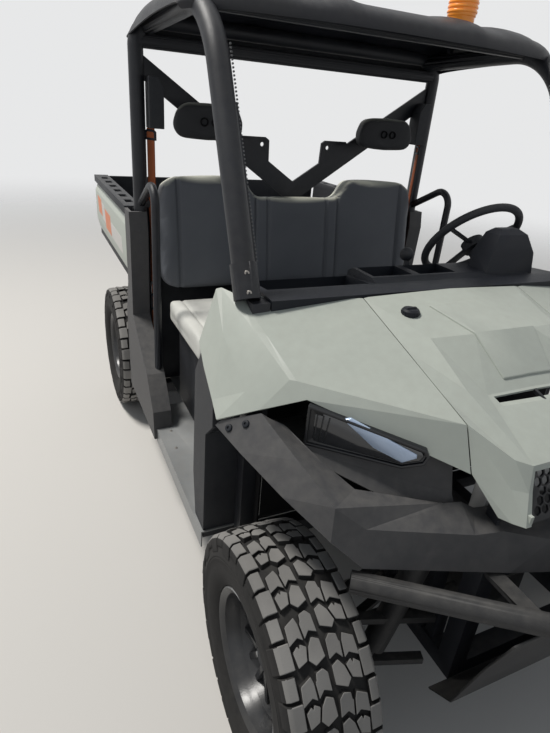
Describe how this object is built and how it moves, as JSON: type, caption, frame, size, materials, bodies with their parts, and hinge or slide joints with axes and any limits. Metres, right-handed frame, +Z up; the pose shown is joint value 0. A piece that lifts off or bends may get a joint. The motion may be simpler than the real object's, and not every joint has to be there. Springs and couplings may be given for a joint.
{
  "type": "side by side utility vehicle",
  "caption": "Open two-row-wide utility vehicle with a bench seat, tube cab frame, moulded roof, tilting cargo bed and lugged tyres.",
  "frame": {"origin": "on the ground, under the middle of the vehicle's bounding box", "axes": "+Z up, the front points along -Y, the driver's side is +X"},
  "size_m": [1.588, 3.05, 2.047],
  "materials": {
    "sage_panel": "matte with a fine grain",
    "black_plastic": "textured, faded and dusty",
    "black_frame": "satin textured powder coat",
    "black_steel": "satin, worn at the edges",
    "tyre": "matte and dusty",
    "rim": "satin black",
    "seat_light": "grained vinyl",
    "seat_dark": "grained vinyl",
    "webbing": "woven",
    "lamp_lens": "clear over black",
    "red_lens": "glossy",
    "amber_lens": "ribbed, translucent",
    "cast_metal": "rough",
    "bare_steel": "dull",
    "aluminium": "dull"
  },
  "bodies": {
    "frame": {"chassis_frame": "black_frame", "hitch_receiver": "black_steel", "floor_pan": "black_plastic", "rocker_panels": "black_plastic", "front_fenders": "sage_panel", "front_fascia": "black_plastic", "arch_liners": "black_plastic", "headlamps": "lamp_lens", "front_bumper": "black_steel", "front_skid_plate": "black_steel", "radiator": "aluminium", "dashboard": "black_plastic", "driver_controls": "black_plastic", "steering_rack": "bare_steel", "suspension_arms": "black_steel", "shock_absorbers": "black_steel", "drive_shafts": "cast_metal", "engine_block": "cast_metal", "muffler": "bare_steel", "rops_rear": "black_frame", "rops_front": "black_frame", "v_brace": "black_frame", "headrests": "seat_dark", "hip_bars": "black_frame", "driver_cushion": "seat_light", "seat_base": "black_plastic", "seat_back": "seat_dark", "cab_side_panels": "black_plastic", "cab_rear_wall": "black_plastic", "seat_belts": "webbing", "belt_reels": "black_plastic", "roof": "black_plastic", "beacon": "amber_lens"},
    "hood": {"hood": "sage_panel", "grille": "black_plastic", "hood_latches": "black_plastic"},
    "passenger_seat": {"passenger_cushion": "seat_light"},
    "cargo_bed": {"cargo_bed": "black_plastic", "bed_side_panels": "sage_panel", "tail_lamps": "red_lens"},
    "tailgate": {"tailgate": "black_plastic"},
    "steering_wheel": {"steering_wheel": "black_plastic"},
    "knuckle_left": {"knuckle_left": "cast_metal"},
    "knuckle_right": {"knuckle_right": "cast_metal"},
    "front_left_wheel": {"front_left_tyre": "tyre", "front_left_rim": "rim"},
    "front_right_wheel": {"front_right_tyre": "tyre", "front_right_rim": "rim"},
    "rear_left_wheel": {"rear_left_tyre": "tyre", "rear_left_rim": "rim"},
    "rear_right_wheel": {"rear_right_tyre": "tyre", "rear_right_rim": "rim"}
  },
  "joints": [
    {"name": "hood_hinge", "type": "hinge", "parent": "frame", "child": "hood", "pos_m": [0, -1.292, 0.846], "axis": [1, 0, 0], "range_deg": [0, 60]},
    {"name": "cargo_bed_tilt", "type": "hinge", "parent": "frame", "child": "cargo_bed", "pos_m": [0, 1.355, 0.822], "axis": [-1, 0, 0], "range_deg": [0, 45]},
    {"name": "tailgate_hinge", "type": "hinge", "parent": "cargo_bed", "child": "tailgate", "pos_m": [0, 1.512, 0.874], "axis": [-1, 0, 0], "range_deg": [0, 90]},
    {"name": "passenger_seat_hinge", "type": "hinge", "parent": "frame", "child": "passenger_seat", "pos_m": [0, 0.276, 0.845], "axis": [-1, 0, 0], "range_deg": [0, 75]},
    {"name": "steer_left", "type": "hinge", "parent": "frame", "child": "knuckle_left", "pos_m": [0.6, -1.096, 0.332], "axis": [0, 0, 1], "range_deg": [-30, 30]},
    {"name": "steer_right", "type": "hinge", "parent": "frame", "child": "knuckle_right", "pos_m": [-0.6, -1.096, 0.332], "axis": [0, 0, 1], "range_deg": [-30, 30]},
    {"name": "steering_wheel_turn", "type": "hinge", "parent": "frame", "child": "steering_wheel", "pos_m": [0.371, -0.379, 1.224], "axis": [0, 0.7826, 0.6225], "range_deg": [-270, 270]},
    {"name": "front_left_roll", "type": "hinge", "parent": "knuckle_left", "child": "front_left_wheel", "pos_m": [0.6795, -1.096, 0.332], "axis": [1, 0, 0], "continuous": true},
    {"name": "front_right_roll", "type": "hinge", "parent": "knuckle_right", "child": "front_right_wheel", "pos_m": [-0.6795, -1.096, 0.332], "axis": [1, 0, 0], "continuous": true},
    {"name": "rear_left_roll", "type": "hinge", "parent": "frame", "child": "rear_left_wheel", "pos_m": [0.6545, 0.961, 0.332], "axis": [1, 0, 0], "continuous": true},
    {"name": "rear_right_roll", "type": "hinge", "parent": "frame", "child": "rear_right_wheel", "pos_m": [-0.6545, 0.961, 0.332], "axis": [1, 0, 0], "continuous": true}
  ],
  "couplings": [
    {"joint": "steer_right", "follows": "steer_left", "ratio": 1},
    {"joint": "steering_wheel_turn", "follows": "steer_left", "ratio": 9}
  ]
}
